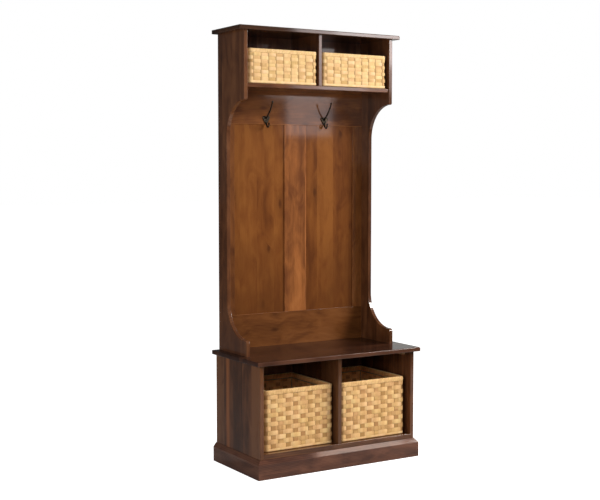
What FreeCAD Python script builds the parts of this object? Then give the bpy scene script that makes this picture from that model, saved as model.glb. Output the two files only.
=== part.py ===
import FreeCAD, Part
import math
import os

# Hall bench with a hutch above it: a seat over two basket bays, a panelled back
# with two coat hooks, and a top shelf with two more basket bays. Millimetres.
# X runs to the right, Y to the back and Z up. The origin is on the floor, under
# the middle of the seat board, which is the widest and deepest piece.

Vector = FreeCAD.Vector
os.makedirs("parts", exist_ok=True)

# Whole object
overall_height = 2032.0
board = 19.0
edge_radius = 2.0
overrun = 5.0
touch = 0.01

# Bench case
bench_width = 852.0
bench_depth = 421.0
deck_height = 110.0
bench_back_thickness = 6.0
bench_back_rabbet = 9.0
base_rail_thickness = 19.0
corner_block_leg = 38.0
corner_block_height = 62.0
corner_block_lift = 6.0

# Seat board
seat_height = 532.0
seat_thickness = 20.0
seat_side_overhang = 23.0
seat_front_overhang = 23.5
seat_edge_radius = 3.5
seat_cleat_width = 20.0
seat_cleat_height = 20.0
seat_cleat_setback = 45.0
seat_cleat_rear_gap = 20.0

# Plinth moulding round the base
plinth_thickness = 18.0
plinth_face_height = 69.0
plinth_bevel_height = 18.5
plinth_bevel_depth = 15.0

# Hutch sides
hutch_step = 15.5
hutch_depth = 253.0
narrow_depth = 82.0
cheek_drop = 58.0
cheek_corner_radius = 8.0
foot_rise = 72.0
foot_land = 8.5
foot_corner_radius = 15.0

# Top board, shelf and the divider between them
top_thickness = 19.0
top_side_overhang = 31.5
top_front_overhang = 18.5
top_edge_radius = 3.0
cubby_clear_height = 237.0
shelf_thickness = 18.0
shelf_setback = 5.0
cubby_divider_thickness = 18.0
cubby_back_thickness = 6.0

# Panelled back
back_inset = 3.0
frame_thickness = 19.0
frame_rabbet = 10.0
hook_rail_width = 158.0
bottom_rail_width = 161.0
side_stile_show = 55.0
centre_stile_width = 124.0
groove_depth = 10.0
panel_thickness = 10.0
panel_play = 1.5
frame_edge_radius = 1.5

# Housings that hold shelves and dividers
housing_depth = 6.0
housing_stop = 12.0
divider_housing_depth = 4.0

# Dowels between the top board and the sides
dowel_radius = 4.0
dowel_depth_in_top = 12.0
dowel_depth_in_side = 24.0
dowel_clearance = 0.05
dowel_chamfer = 1.0
dowel_place_shares = (0.22, 0.52, 0.82)

# Wood screws
screw_radius = 2.0
screw_head_radius = 4.0
screw_head_height = 2.4
screw_point_length = 5.0
screw_socket_radius = 1.4
screw_socket_depth = 1.2
screw_clearance = 0.1
screw_bite_share = 0.6
long_bite = 42.0
frame_bite = 20.0
panel_bite = 14.0

# Coat hooks
hook_spacing = 330.0
hook_plate_thickness = 4.0
hook_ear_radius = 8.0
hook_ear_spread = 24.0
hook_ear_drop = 22.0
hook_ear_above_rail_edge = 33.0
hook_plate_edge_radius = 1.2
hook_root_radius = 4.8
hook_neck_radius = 3.1
hook_ball_radius = 5.2
hook_upper_reach = 62.0
hook_upper_rise = 78.0
hook_upper_bend_shares = ((0.19, 0.19), (0.74, 0.47))
hook_lower_reach = 27.0
hook_lower_dip = 37.0
hook_lower_bend_shares = ((0.15, 1.0), (1.05, 1.05))
hook_lower_lift_share = 0.33
hook_lower_ball_radius = 4.6
hook_prong_sections = 9

# Baskets
basket_wall = 6.0
basket_lean = 1.5
basket_corner_radius = 18.0
basket_frame_radius = 2.5
basket_post_radius = 1.9
basket_frame_gap = 0.3
basket_seat_gap = 0.3
basket_rim_cover = 1.0
lower_basket_rim_height = 23.0
lower_basket_play = 29.5
lower_basket_headroom = 121.5
lower_basket_recess = 20.0
lower_basket_rear_play = 25.0
lower_left_basket_gap = 24.0
lower_right_basket_gap = 9.0
lower_left_basket_push = 12.0
upper_basket_rim_height = 19.5
upper_basket_play = 12.5
upper_basket_headroom = 79.0
upper_basket_recess = 3.0
upper_basket_rear_play = 11.0
upper_basket_divider_gap = 3.5

# Heights and places that follow from the sizes above
seat_width = bench_width + 2 * seat_side_overhang
seat_depth = bench_depth + seat_front_overhang
seat_under = seat_height - seat_thickness
y_rear = seat_depth / 2
y_bench_front = y_rear - bench_depth
y_seat_front = y_rear - seat_depth
deck_under = deck_height - board
bench_half = bench_width / 2
bench_inner_half = bench_half - board
hutch_width = bench_width - 2 * hutch_step
hutch_half = hutch_width / 2
hutch_inner_half = hutch_half - board
y_hutch_front = y_rear - hutch_depth
top_under = overall_height - top_thickness
shelf_top = top_under - cubby_clear_height
shelf_under = shelf_top - shelf_thickness
cheek_under = shelf_under - cheek_drop
cove_radius = hutch_depth - narrow_depth - cheek_corner_radius
foot_top = seat_height + foot_rise
foot_depth = narrow_depth + cove_radius + foot_land + foot_corner_radius
y_frame_rear = y_rear - back_inset
y_frame_front = y_frame_rear - frame_thickness
frame_half = hutch_inner_half + frame_rabbet
hook_rail_under = shelf_under - hook_rail_width
bottom_rail_top = seat_height + bottom_rail_width
y_groove_rear = y_frame_rear - (frame_thickness - panel_thickness) / 2
y_groove_front = y_groove_rear - panel_thickness
side_stile_inner = hutch_inner_half - side_stile_show
y_bench_back = y_rear - bench_back_thickness
y_cubby_back_rear = y_rear - back_inset
y_cubby_back = y_cubby_back_rear - cubby_back_thickness
y_shelf_front = y_hutch_front + shelf_setback
cubby_divider_half = cubby_divider_thickness / 2
bench_divider_half = board / 2


def block(x0, x1, y0, y1, z0, z1):
    """A block between two opposite corners, given in any order."""
    low = Vector(min(x0, x1), min(y0, y1), min(z0, z1))
    return Part.makeBox(abs(x1 - x0), abs(y1 - y0), abs(z1 - z0), low)


def eased(shape, radius, chosen):
    """The shape with a round on each edge whose middle the rule picks."""
    edges = [edge for edge in shape.Edges if chosen(edge.CenterOfMass, edge.BoundBox)]
    return shape.makeFillet(radius, edges)


def near(a, b):
    """True where two places along an axis are the same."""
    return abs(a - b) < touch


def prism(points, direction):
    """A flat outline of straight edges, drawn out along a direction."""
    return Part.Face(Part.makePolygon(points + points[:1])).extrude(direction)


def mirrored(shape):
    """The shape's twin on the other side of the middle."""
    return shape.mirror(Vector(0, 0, 0), Vector(1, 0, 0))


def save(name, *solids):
    """Write one node, as a single solid or as a group of separate ones."""
    shape = solids[0] if len(solids) == 1 else Part.makeCompound(list(solids))
    shape.exportStep("parts/" + name + ".step")


# Screws: a countersunk head with a socket, a plain shank and a point
def screw_body(place, direction, length, extra):
    """A screw whose head lies flush at a place, grown by extra for its hole."""
    head, shank = screw_head_radius + extra, screw_radius + extra
    outline = [
        Vector(0, 0, 0),
        Vector(head, 0, 0),
        Vector(shank, 0, screw_head_height),
        Vector(shank, 0, length - screw_point_length + extra),
        Vector(0, 0, length + extra),
    ]
    face = Part.Face(Part.makePolygon(outline + outline[:1]))
    solid = face.revolve(Vector(0, 0, 0), Vector(0, 0, 1), 360)
    turn = FreeCAD.Rotation(Vector(0, 0, 1), direction)
    solid.Placement = FreeCAD.Placement(place, turn)
    return solid


def screw(place, direction, length):
    """A screw with its driver socket."""
    solid = screw_body(place, direction, length, 0)
    socket = Part.makeCylinder(screw_socket_radius, screw_socket_depth, place, direction)
    return solid.cut(socket)


def screw_set(places, direction, length):
    """The screws at a list of places, and the holes that take them."""
    screws = [screw(place, direction, length) for place in places]
    holes = [screw_body(place, direction, length, screw_clearance) for place in places]
    return screws, holes


def drilled(shape, holes):
    """The shape with each hole that reaches it cut out."""
    for hole in holes:
        shape = shape.cut(hole)
    return shape


up = Vector(0, 0, 1)
down = Vector(0, 0, -1)
forward = Vector(0, -1, 0)
backward = Vector(0, 1, 0)
right = Vector(1, 0, 0)
left = Vector(-1, 0, 0)


def spread(low, high, count):
    """Places spread evenly between two ends, each half a step in from them."""
    step = (high - low) / count
    return [low + step * (index + 0.5) for index in range(count)]


# Seat cleats: square strips under the seat that its screws pass through
cleat_front = y_bench_front + seat_cleat_setback
cleat_rear = y_bench_back - seat_cleat_rear_gap
cleat_under = seat_under - seat_cleat_height
cleat_mid_height = seat_under - seat_cleat_height / 2
side_cleat_x = bench_inner_half - seat_cleat_width / 2
middle_cleat_x = bench_divider_half + seat_cleat_width / 2
cleat_places = spread(cleat_front, y_rear - foot_depth, 2)
cleat_to_seat = seat_cleat_height + seat_thickness * screw_bite_share
cleat_to_side = seat_cleat_width + board * screw_bite_share

seat_screws, seat_screw_holes = screw_set(
    [Vector(x, y, cleat_under) for x in (-side_cleat_x, middle_cleat_x, side_cleat_x)
     for y in cleat_places], up, cleat_to_seat)
left_cleat_screws, left_cleat_holes = screw_set(
    [Vector(-bench_inner_half + seat_cleat_width, y, cleat_mid_height)
     for y in spread(cleat_front, cleat_rear, 4)[:2]], left, cleat_to_side)
right_cleat_screws, right_cleat_holes = screw_set(
    [Vector(bench_inner_half - seat_cleat_width, y, cleat_mid_height)
     for y in spread(cleat_front, cleat_rear, 4)[:2]], right, cleat_to_side)
middle_cleat_screws, middle_cleat_holes = screw_set(
    [Vector(bench_divider_half + seat_cleat_width, y, cleat_mid_height)
     for y in spread(cleat_front, cleat_rear, 4)[1:3]], left, cleat_to_side)

# Hutch screws: long ones through cleat and seat into the feet of the hutch
hutch_mid = hutch_half - board / 2
hutch_screw_places = spread(y_rear - foot_depth + cheek_corner_radius, cleat_rear, 2)
hutch_screws, hutch_screw_holes = screw_set(
    [Vector(x, y, cleat_under) for x in (-hutch_mid, hutch_mid) for y in hutch_screw_places],
    up, seat_cleat_height + seat_thickness + long_bite)

# Plinth screws: from inside the base into the moulding
plinth_screw_height = plinth_face_height / 2
plinth_screw_length = board + plinth_thickness * screw_bite_share
front_plinth_screw_length = base_rail_thickness + plinth_thickness * screw_bite_share
block_clear = base_rail_thickness + corner_block_leg
side_plinth_places = spread(y_bench_front + block_clear, y_bench_back - block_clear, 2)
left_plinth_screws, left_plinth_holes = screw_set(
    [Vector(-bench_inner_half, y, plinth_screw_height) for y in side_plinth_places],
    left, plinth_screw_length)
right_plinth_screws, right_plinth_holes = screw_set(
    [Vector(bench_inner_half, y, plinth_screw_height) for y in side_plinth_places],
    right, plinth_screw_length)
front_plinth_screws, front_plinth_holes = screw_set(
    [Vector(x, y_bench_front + base_rail_thickness, plinth_screw_height)
     for x in spread(corner_block_leg - bench_inner_half, bench_inner_half - corner_block_leg, 3)],
    forward, front_plinth_screw_length)

# Screws in the backs, all driven from behind
frame_screw_x = hutch_inner_half + frame_rabbet / 2
frame_screws, frame_screw_holes = screw_set(
    [Vector(x, y_frame_rear, z) for x in (-frame_screw_x, frame_screw_x)
     for z in (spread(hook_rail_under, shelf_under, 2) + spread(seat_height, bottom_rail_top, 2))],
    forward, frame_thickness + frame_bite)
cubby_back_screws, cubby_back_screw_holes = screw_set(
    [Vector(x, y_cubby_back_rear, z) for x in (-frame_screw_x, frame_screw_x)
     for z in spread(shelf_top, top_under, 2)],
    forward, cubby_back_thickness + panel_bite)
bench_back_screw_x = bench_inner_half + bench_back_rabbet / 2
bench_back_screws, bench_back_screw_holes = screw_set(
    [Vector(x, y_rear, z) for x in (-bench_back_screw_x, bench_back_screw_x)
     for z in spread(deck_height, seat_under, 3)]
    + [Vector(0, y_rear, z) for z in spread(deck_height, seat_under, 2)]
    + [Vector(x, y_rear, deck_under + board / 2)
       for x in spread(-bench_inner_half, bench_inner_half, 4)],
    forward, bench_back_thickness + panel_bite)

# Bench sides, with a housing for the deck and a rabbet for the back panel
deck_housing_front = y_bench_front + housing_stop
bench_side = block(bench_inner_half, bench_half, y_bench_front, y_rear, 0, seat_under)
bench_side = eased(bench_side, edge_radius,
                   lambda c, b: near(c.y, y_bench_front) and near(c.z, seat_under / 2))
bench_side = bench_side.cut(block(
    bench_inner_half - overrun, bench_inner_half + bench_back_rabbet,
    y_bench_back, y_rear + overrun, -overrun, seat_under + overrun))
bench_side = bench_side.cut(block(
    bench_inner_half - overrun, bench_inner_half + housing_depth,
    deck_housing_front, y_bench_back + overrun, deck_under, deck_height))
save("bench_side_right", drilled(
    bench_side, right_cleat_holes + right_plinth_holes + bench_back_screw_holes))
save("bench_side_left", drilled(
    mirrored(bench_side), left_cleat_holes + left_plinth_holes + bench_back_screw_holes))

# Deck: the bottom board that the lower baskets stand on
divider_housing_front = y_bench_front + housing_stop
deck = block(-bench_inner_half, bench_inner_half, y_bench_front, y_bench_back,
             deck_under, deck_height)
deck = eased(deck, edge_radius, lambda c, b: near(c.y, y_bench_front) and near(c.z, deck_height))
deck = deck.fuse(block(-bench_inner_half - housing_depth, bench_inner_half + housing_depth,
                       deck_housing_front, y_bench_back, deck_under, deck_height))
deck = deck.removeSplitter()
deck = deck.cut(block(-bench_divider_half, bench_divider_half, divider_housing_front,
                      y_bench_back + overrun, deck_height - divider_housing_depth,
                      deck_height + overrun))
save("bench_deck", drilled(deck, bench_back_screw_holes))

# Bench divider, let into the deck and into the underside of the seat
divider = block(-bench_divider_half, bench_divider_half, y_bench_front, y_bench_back,
                deck_height, seat_under)
divider = eased(divider, edge_radius,
                lambda c, b: near(c.y, y_bench_front) and near(c.z, (deck_height + seat_under) / 2))
divider = divider.fuse(block(
    -bench_divider_half, bench_divider_half, divider_housing_front, y_bench_back,
    deck_height - divider_housing_depth, seat_under + divider_housing_depth))
divider = divider.removeSplitter()
save("bench_divider", drilled(divider, middle_cleat_holes + bench_back_screw_holes))

# Base rails under the deck, and glue blocks in their corners
front_rail = block(-bench_inner_half, bench_inner_half, y_bench_front,
                   y_bench_front + base_rail_thickness, 0, deck_under)
save("base_front_rail", drilled(front_rail, front_plinth_holes))
rear_rail = block(-bench_inner_half, bench_inner_half, y_bench_back - base_rail_thickness,
                  y_bench_back, 0, deck_under)
save("base_back_rail", rear_rail)


def corner_block(x_side, y_side, y_sense):
    """A three-cornered glue block in the angle of a side and a rail."""
    x_sense = -math.copysign(corner_block_leg, x_side)
    points = [
        Vector(x_side, y_side, corner_block_lift),
        Vector(x_side + x_sense, y_side, corner_block_lift),
        Vector(x_side, y_side + y_sense * corner_block_leg, corner_block_lift),
    ]
    return prism(points, up * corner_block_height)


save("corner_blocks", *[
    corner_block(x, y, sense) for x in (-bench_inner_half, bench_inner_half)
    for y, sense in ((y_bench_front + base_rail_thickness, 1),
                     (y_bench_back - base_rail_thickness, -1))])

# Bench back panel in its rabbets
bench_back = block(-bench_inner_half - bench_back_rabbet, bench_inner_half + bench_back_rabbet,
                   y_bench_back, y_rear, 0, seat_under)
save("bench_back_panel", drilled(bench_back, bench_back_screw_holes))

# Seat cleats and their screws
for name, x_mid, cleat_holes in (
        ("seat_cleat_left", -side_cleat_x, left_cleat_holes),
        ("seat_cleat_middle", middle_cleat_x, middle_cleat_holes),
        ("seat_cleat_right", side_cleat_x, right_cleat_holes)):
    cleat = block(x_mid - seat_cleat_width / 2, x_mid + seat_cleat_width / 2,
                  cleat_front, cleat_rear, cleat_under, seat_under)
    save(name, drilled(cleat, cleat_holes + seat_screw_holes + hutch_screw_holes))
save("seat_screws", *seat_screws, *left_cleat_screws, *right_cleat_screws,
     *middle_cleat_screws)
save("hutch_screws", *hutch_screws)

# Seat board
seat = block(-seat_width / 2, seat_width / 2, y_seat_front, y_rear, seat_under, seat_height)
seat = eased(seat, seat_edge_radius, lambda c, b: not near(c.y, y_rear))
seat = seat.cut(block(-bench_divider_half, bench_divider_half, divider_housing_front,
                      y_bench_back, seat_under - overrun, seat_under + divider_housing_depth))
save("seat_board", drilled(seat, seat_screw_holes + hutch_screw_holes))

# Plinth: a bevelled moulding, mitred at the front corners
plinth_height = plinth_face_height + plinth_bevel_height
y_plinth_front = y_bench_front - plinth_thickness
plinth_half = bench_half + plinth_thickness
bevel_rest = plinth_thickness - plinth_bevel_depth
front_plinth = prism([
    Vector(-plinth_half, y_bench_front, 0),
    Vector(-plinth_half, y_plinth_front, 0),
    Vector(-plinth_half, y_plinth_front, plinth_face_height),
    Vector(-plinth_half, y_bench_front - bevel_rest, plinth_height),
    Vector(-plinth_half, y_bench_front, plinth_height),
], right * (2 * plinth_half))
front_plinth = front_plinth.common(prism([
    Vector(-bench_half, y_bench_front, 0),
    Vector(-plinth_half, y_plinth_front, 0),
    Vector(plinth_half, y_plinth_front, 0),
    Vector(bench_half, y_bench_front, 0),
], up * plinth_height))
save("plinth_front", drilled(front_plinth, front_plinth_holes))

side_plinth = prism([
    Vector(bench_half, y_plinth_front, 0),
    Vector(plinth_half, y_plinth_front, 0),
    Vector(plinth_half, y_plinth_front, plinth_face_height),
    Vector(bench_half + bevel_rest, y_plinth_front, plinth_height),
    Vector(bench_half, y_plinth_front, plinth_height),
], backward * (y_rear - y_plinth_front))
side_plinth = side_plinth.common(prism([
    Vector(bench_half, y_bench_front, 0),
    Vector(plinth_half, y_plinth_front, 0),
    Vector(plinth_half, y_rear, 0),
    Vector(bench_half, y_rear, 0),
], up * plinth_height))
save("plinth_right", drilled(side_plinth, right_plinth_holes))
save("plinth_left", drilled(mirrored(side_plinth), left_plinth_holes))
save("plinth_screws", *left_plinth_screws, *right_plinth_screws, *front_plinth_screws)

# Hutch sides: one board each, cut to a deep cove between shelf and seat
def side_point(depth, height):
    """A point of the side's outline, by its depth from the back and its height."""
    return Vector(hutch_inner_half, y_rear - depth, height)


def quarter(centre_depth, centre_height, radius, depth_sense, height_sense, rising):
    """A quarter of a circle of the outline, from level with its centre or to it."""
    diagonal = radius * math.sqrt(0.5)
    level = side_point(centre_depth + depth_sense * radius, centre_height)
    middle = side_point(centre_depth + depth_sense * diagonal,
                        centre_height + height_sense * diagonal)
    above = side_point(centre_depth, centre_height + height_sense * radius)
    ends = (level, middle, above) if rising else (above, middle, level)
    return Part.Arc(*ends).toShape()


cove_depth = narrow_depth + cove_radius
foot_corner = quarter(foot_depth - foot_corner_radius, foot_top - foot_corner_radius,
                      foot_corner_radius, 1, 1, True)
lower_cove = quarter(cove_depth, foot_top + cove_radius, cove_radius, -1, -1, False)
upper_cove = quarter(cove_depth, cheek_under - cove_radius, cove_radius, -1, 1, True)
cheek_corner = quarter(hutch_depth - cheek_corner_radius, cheek_under + cheek_corner_radius,
                       cheek_corner_radius, 1, -1, False)
side_outline = Part.Wire([
    Part.LineSegment(side_point(0, seat_height), side_point(foot_depth, seat_height)).toShape(),
    Part.LineSegment(side_point(foot_depth, seat_height),
                     side_point(foot_depth, foot_top - foot_corner_radius)).toShape(),
    foot_corner,
    Part.LineSegment(side_point(foot_depth - foot_corner_radius, foot_top),
                     side_point(cove_depth, foot_top)).toShape(),
    lower_cove,
    Part.LineSegment(side_point(narrow_depth, foot_top + cove_radius),
                     side_point(narrow_depth, cheek_under - cove_radius)).toShape(),
    upper_cove,
    cheek_corner,
    Part.LineSegment(side_point(hutch_depth, cheek_under + cheek_corner_radius),
                     side_point(hutch_depth, top_under)).toShape(),
    Part.LineSegment(side_point(hutch_depth, top_under), side_point(0, top_under)).toShape(),
    Part.LineSegment(side_point(0, top_under), side_point(0, seat_height)).toShape(),
])
hutch_side = Part.Face(side_outline).extrude(right * board)


def on_side_front(centre, bounds):
    """True for the long edges along the front outline of a hutch side."""
    flat = near(bounds.XMin, bounds.XMax)
    return (flat and not near(bounds.YMax, y_rear)
            and not near(bounds.ZMin, top_under) and not near(bounds.ZMax, seat_height))


hutch_side = eased(hutch_side, edge_radius, on_side_front)
hutch_side = hutch_side.cut(block(
    hutch_inner_half - overrun, frame_half, y_frame_front, y_rear + overrun,
    seat_height - overrun, shelf_under))
hutch_side = hutch_side.cut(block(
    hutch_inner_half - overrun, frame_half, y_cubby_back, y_rear + overrun,
    shelf_top, top_under + overrun))
shelf_housing_front = y_shelf_front + housing_stop
hutch_side = hutch_side.cut(block(
    hutch_inner_half - overrun, hutch_inner_half + housing_depth,
    shelf_housing_front, y_rear + overrun, shelf_under, shelf_top))

# Dowels between the top board and the hutch sides
dowel_places = [Vector(x, y_rear - hutch_depth * share, top_under)
                for x in (-hutch_mid, hutch_mid) for share in dowel_place_shares]


def dowel(place, extra):
    """A dowel that crosses the joint at a place, grown by extra for its hole."""
    base = place - up * (dowel_depth_in_side + extra)
    length = dowel_depth_in_side + dowel_depth_in_top + 2 * extra
    solid = Part.makeCylinder(dowel_radius + extra, length, base, up)
    if extra:
        return solid
    return solid.makeChamfer(dowel_chamfer, [e for e in solid.Edges if near(e.BoundBox.ZLength, 0)])


dowel_holes = [dowel(place, dowel_clearance) for place in dowel_places]
save("top_dowels", *[dowel(place, 0) for place in dowel_places])
side_holes = dowel_holes + hutch_screw_holes + frame_screw_holes + cubby_back_screw_holes
save("hutch_side_right", drilled(hutch_side, side_holes))
save("hutch_side_left", drilled(mirrored(hutch_side), side_holes))

# Top board
top_half = hutch_half + top_side_overhang
y_top_front = y_hutch_front - top_front_overhang
top = block(-top_half, top_half, y_top_front, y_rear, top_under, overall_height)
top = eased(top, top_edge_radius, lambda c, b: not near(c.y, y_rear))
cubby_divider_stop = y_shelf_front + housing_stop
top = top.cut(block(-cubby_divider_half, cubby_divider_half, cubby_divider_stop, y_cubby_back,
                    top_under - overrun, top_under + divider_housing_depth))
save("top_board", drilled(top, dowel_holes))

# Shelf that the upper baskets stand on
shelf = block(-hutch_inner_half, hutch_inner_half, y_shelf_front, y_frame_rear,
              shelf_under, shelf_top)
shelf = eased(shelf, edge_radius, lambda c, b: near(c.y, y_shelf_front) and b.XLength > board)
shelf = shelf.fuse(block(-hutch_inner_half - housing_depth, hutch_inner_half + housing_depth,
                         shelf_housing_front, y_frame_rear, shelf_under, shelf_top))
shelf = shelf.removeSplitter()
shelf = shelf.cut(block(-cubby_divider_half, cubby_divider_half, cubby_divider_stop,
                        y_cubby_back, shelf_top - divider_housing_depth, shelf_top + overrun))
save("cubby_shelf", shelf)

# Divider between the two upper bays
cubby_mid_height = (shelf_top + top_under) / 2
cubby_divider = block(-cubby_divider_half, cubby_divider_half, y_shelf_front, y_cubby_back,
                      shelf_top, top_under)
cubby_divider = eased(cubby_divider, edge_radius,
                      lambda c, b: near(c.y, y_shelf_front) and near(c.z, cubby_mid_height))
cubby_divider = cubby_divider.fuse(block(
    -cubby_divider_half, cubby_divider_half, cubby_divider_stop, y_cubby_back,
    shelf_top - divider_housing_depth, top_under + divider_housing_depth))
save("cubby_divider", cubby_divider.removeSplitter())

# Back of the upper bays
cubby_back = block(-frame_half, frame_half, y_cubby_back, y_cubby_back_rear,
                   shelf_top, top_under)
save("cubby_back", drilled(cubby_back, cubby_back_screw_holes))

# Hook rail and bottom rail, with a groove for the panels and stub tenons
hook_plate_centre = hook_rail_under + hook_ear_above_rail_edge


def hook_ears(x_mid):
    """The three screw places of a hook plate: two above and one below."""
    return [
        Vector(x_mid - hook_ear_spread / 2, y_frame_front, hook_plate_centre),
        Vector(x_mid + hook_ear_spread / 2, y_frame_front, hook_plate_centre),
        Vector(x_mid, y_frame_front, hook_plate_centre - hook_ear_drop),
    ]


hook_places = (-hook_spacing / 2, hook_spacing / 2)
hook_screws, hook_screw_holes = screw_set(
    [ear - backward * hook_plate_thickness for x in hook_places for ear in hook_ears(x)],
    backward, hook_plate_thickness + frame_thickness * screw_bite_share)

hook_rail = block(-frame_half, frame_half, y_frame_front, y_frame_rear,
                  hook_rail_under, shelf_under)
hook_rail = eased(hook_rail, frame_edge_radius,
                  lambda c, b: near(c.y, y_frame_front) and near(c.z, hook_rail_under))
hook_rail = hook_rail.cut(block(
    -frame_half - overrun, frame_half + overrun, y_groove_front, y_groove_rear,
    hook_rail_under - overrun, hook_rail_under + groove_depth))
save("hook_rail", drilled(hook_rail, hook_screw_holes + frame_screw_holes))

bottom_rail = block(-frame_half, frame_half, y_frame_front, y_frame_rear,
                    seat_height, bottom_rail_top)
bottom_rail = eased(bottom_rail, frame_edge_radius,
                    lambda c, b: near(c.y, y_frame_front) and near(c.z, bottom_rail_top))
bottom_rail = bottom_rail.cut(block(
    -frame_half - overrun, frame_half + overrun, y_groove_front, y_groove_rear,
    bottom_rail_top - groove_depth, bottom_rail_top + overrun))
save("back_bottom_rail", drilled(bottom_rail, frame_screw_holes))

# Stiles between the rails
stile_mid_height = (bottom_rail_top + hook_rail_under) / 2


def stile(x0, x1, grooved_edges):
    """A stile from rail to rail, with a tenon at each end and a groove per panel."""
    solid = block(x0, x1, y_frame_front, y_frame_rear, bottom_rail_top, hook_rail_under)
    solid = eased(solid, frame_edge_radius,
                  lambda c, b: near(c.y, y_frame_front) and near(c.z, stile_mid_height)
                  and any(near(c.x, edge) for edge in grooved_edges))
    solid = solid.fuse(block(x0, x1, y_groove_front, y_groove_rear,
                             bottom_rail_top - groove_depth, hook_rail_under + groove_depth))
    solid = solid.removeSplitter()
    for edge in grooved_edges:
        inward = groove_depth if near(edge, x0) else -groove_depth
        outward = -math.copysign(overrun, inward)
        solid = solid.cut(block(edge + outward, edge + inward, y_groove_front, y_groove_rear,
                                bottom_rail_top - groove_depth - overrun,
                                hook_rail_under + groove_depth + overrun))
    return solid


side_stile = stile(side_stile_inner, frame_half, (side_stile_inner,))
save("back_stile_right", side_stile)
save("back_stile_left", mirrored(side_stile))
centre_half = centre_stile_width / 2
save("back_stile_centre", stile(-centre_half, centre_half, (-centre_half, centre_half)))

# Flat back panels, free to move in their grooves
panel_reach = groove_depth - panel_play
back_panel = block(centre_half - panel_reach, side_stile_inner + panel_reach,
                   y_groove_front, y_groove_rear,
                   bottom_rail_top - panel_reach, hook_rail_under + panel_reach)
save("back_panel_right", back_panel)
save("back_panel_left", mirrored(back_panel))
save("back_screws", *frame_screws, *cubby_back_screws, *bench_back_screws)


# Coat hooks: a three-eared plate with a long upper and a short lower prong
def curve_place(poles, share):
    """A point and its direction on a curve of four poles, at a share of its run."""
    rest = 1 - share
    weights = (rest ** 3, 3 * rest ** 2 * share, 3 * rest * share ** 2, share ** 3)
    place = Vector(0, 0, 0)
    for pole, weight in zip(poles, weights):
        place = place + pole * weight
    heading = ((poles[1] - poles[0]) * rest ** 2 + (poles[2] - poles[1]) * (2 * rest * share)
               + (poles[3] - poles[2]) * share ** 2)
    return place, heading


def prong(poles, root_radius, neck_radius, ball_radius):
    """A round bar that tapers along a curve and ends in a ball."""
    rings = []
    for index in range(hook_prong_sections):
        share = index / (hook_prong_sections - 1)
        place, heading = curve_place(poles, share)
        radius = root_radius + (neck_radius - root_radius) * math.sqrt(share)
        rings.append(Part.Wire(Part.makeCircle(radius, place, heading)))
    bar = Part.makeLoft(rings, True, False)
    return bar.fuse(Part.makeSphere(ball_radius, poles[3]))


def coat_hook(x_mid):
    """One hook, at its place on the hook rail."""
    ears = hook_ears(x_mid)
    outline = Part.makePolygon(ears + ears[:1]).makeOffset2D(hook_ear_radius)
    plate = Part.Face(outline).extrude(forward * hook_plate_thickness)
    y_plate = y_frame_front - hook_plate_thickness
    plate = eased(plate, hook_plate_edge_radius,
                  lambda c, b: near(b.YMin, y_plate) and near(b.YMax, y_plate))
    root = ears[2] + up * (hook_ear_drop / 2) + forward * (hook_plate_thickness / 2)
    upper_root = root + up * hook_root_radius
    upper = prong(
        [upper_root] + [upper_root + forward * (hook_upper_reach * reach_share)
                        + up * (hook_upper_rise * rise_share)
                        for reach_share, rise_share in hook_upper_bend_shares + ((1, 1),)],
        hook_root_radius, hook_neck_radius, hook_ball_radius)
    lower_root = root - up * hook_root_radius
    lower = prong(
        [lower_root] + [lower_root + forward * (hook_lower_reach * reach_share)
                        + down * (hook_lower_dip * dip_share)
                        for reach_share, dip_share
                        in hook_lower_bend_shares + ((1, hook_lower_lift_share),)],
        hook_root_radius, hook_neck_radius, hook_lower_ball_radius)
    hook = plate.fuse(upper).fuse(lower).removeSplitter()
    behind = block(x_mid - hook_spacing / 2, x_mid + hook_spacing / 2, y_frame_front,
                   y_frame_rear, hook_rail_under - overrun, shelf_under)
    return drilled(hook.cut(behind), hook_screw_holes)


save("coat_hook_left", coat_hook(hook_places[0]))
save("coat_hook_right", coat_hook(hook_places[1]))
save("hook_screws", *hook_screws)


# Baskets: a woven box, a wrapped rim and a welded wire frame inside
def rounded_column(half_w, half_d, z0, z1, radius):
    """A block about the middle, with its four upright edges rounded."""
    solid = block(-half_w, half_w, -half_d, half_d, z0, z1)
    return eased(solid, radius, lambda c, b: near(b.XLength, 0) and near(b.YLength, 0))


def leaning_column(half_w, half_d, z0, z1, inset0, inset1):
    """A column that draws in all round from inset0 at its foot to inset1 at its top."""
    w, d = half_w - basket_corner_radius, half_d - basket_corner_radius
    rings = []
    for z, inset in ((z0, inset0), (z1, inset1)):
        corners = [Vector(-w, -d, z), Vector(w, -d, z), Vector(w, d, z), Vector(-w, d, z)]
        centres = Part.makePolygon(corners + corners[:1])
        rings.append(centres.makeOffset2D(basket_corner_radius - inset))
    return Part.makeLoft(rings, True, True)


def hoop(half_w, half_d, z, bend):
    """A round wire bent into a rectangle with rounded corners, about the middle."""
    radius = basket_frame_radius
    straight_w, straight_d = half_w - bend, half_d - bend
    pieces = []
    for y in (-half_d, half_d):
        pieces.append(Part.makeCylinder(radius, 2 * straight_w, Vector(-straight_w, y, z), right))
    for x in (-half_w, half_w):
        pieces.append(Part.makeCylinder(radius, 2 * straight_d, Vector(x, -straight_d, z), backward))
    for x_side, y_side, turn in ((1, 1, 0), (-1, 1, 90), (-1, -1, 180), (1, -1, 270)):
        corner = Part.makeTorus(bend, radius, Vector(0, 0, 0), up, -180, 180, 90)
        corner.Placement = FreeCAD.Placement(
            Vector(x_side * straight_w, y_side * straight_d, z), FreeCAD.Rotation(up, turn))
        pieces.append(corner)
    return pieces


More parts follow.
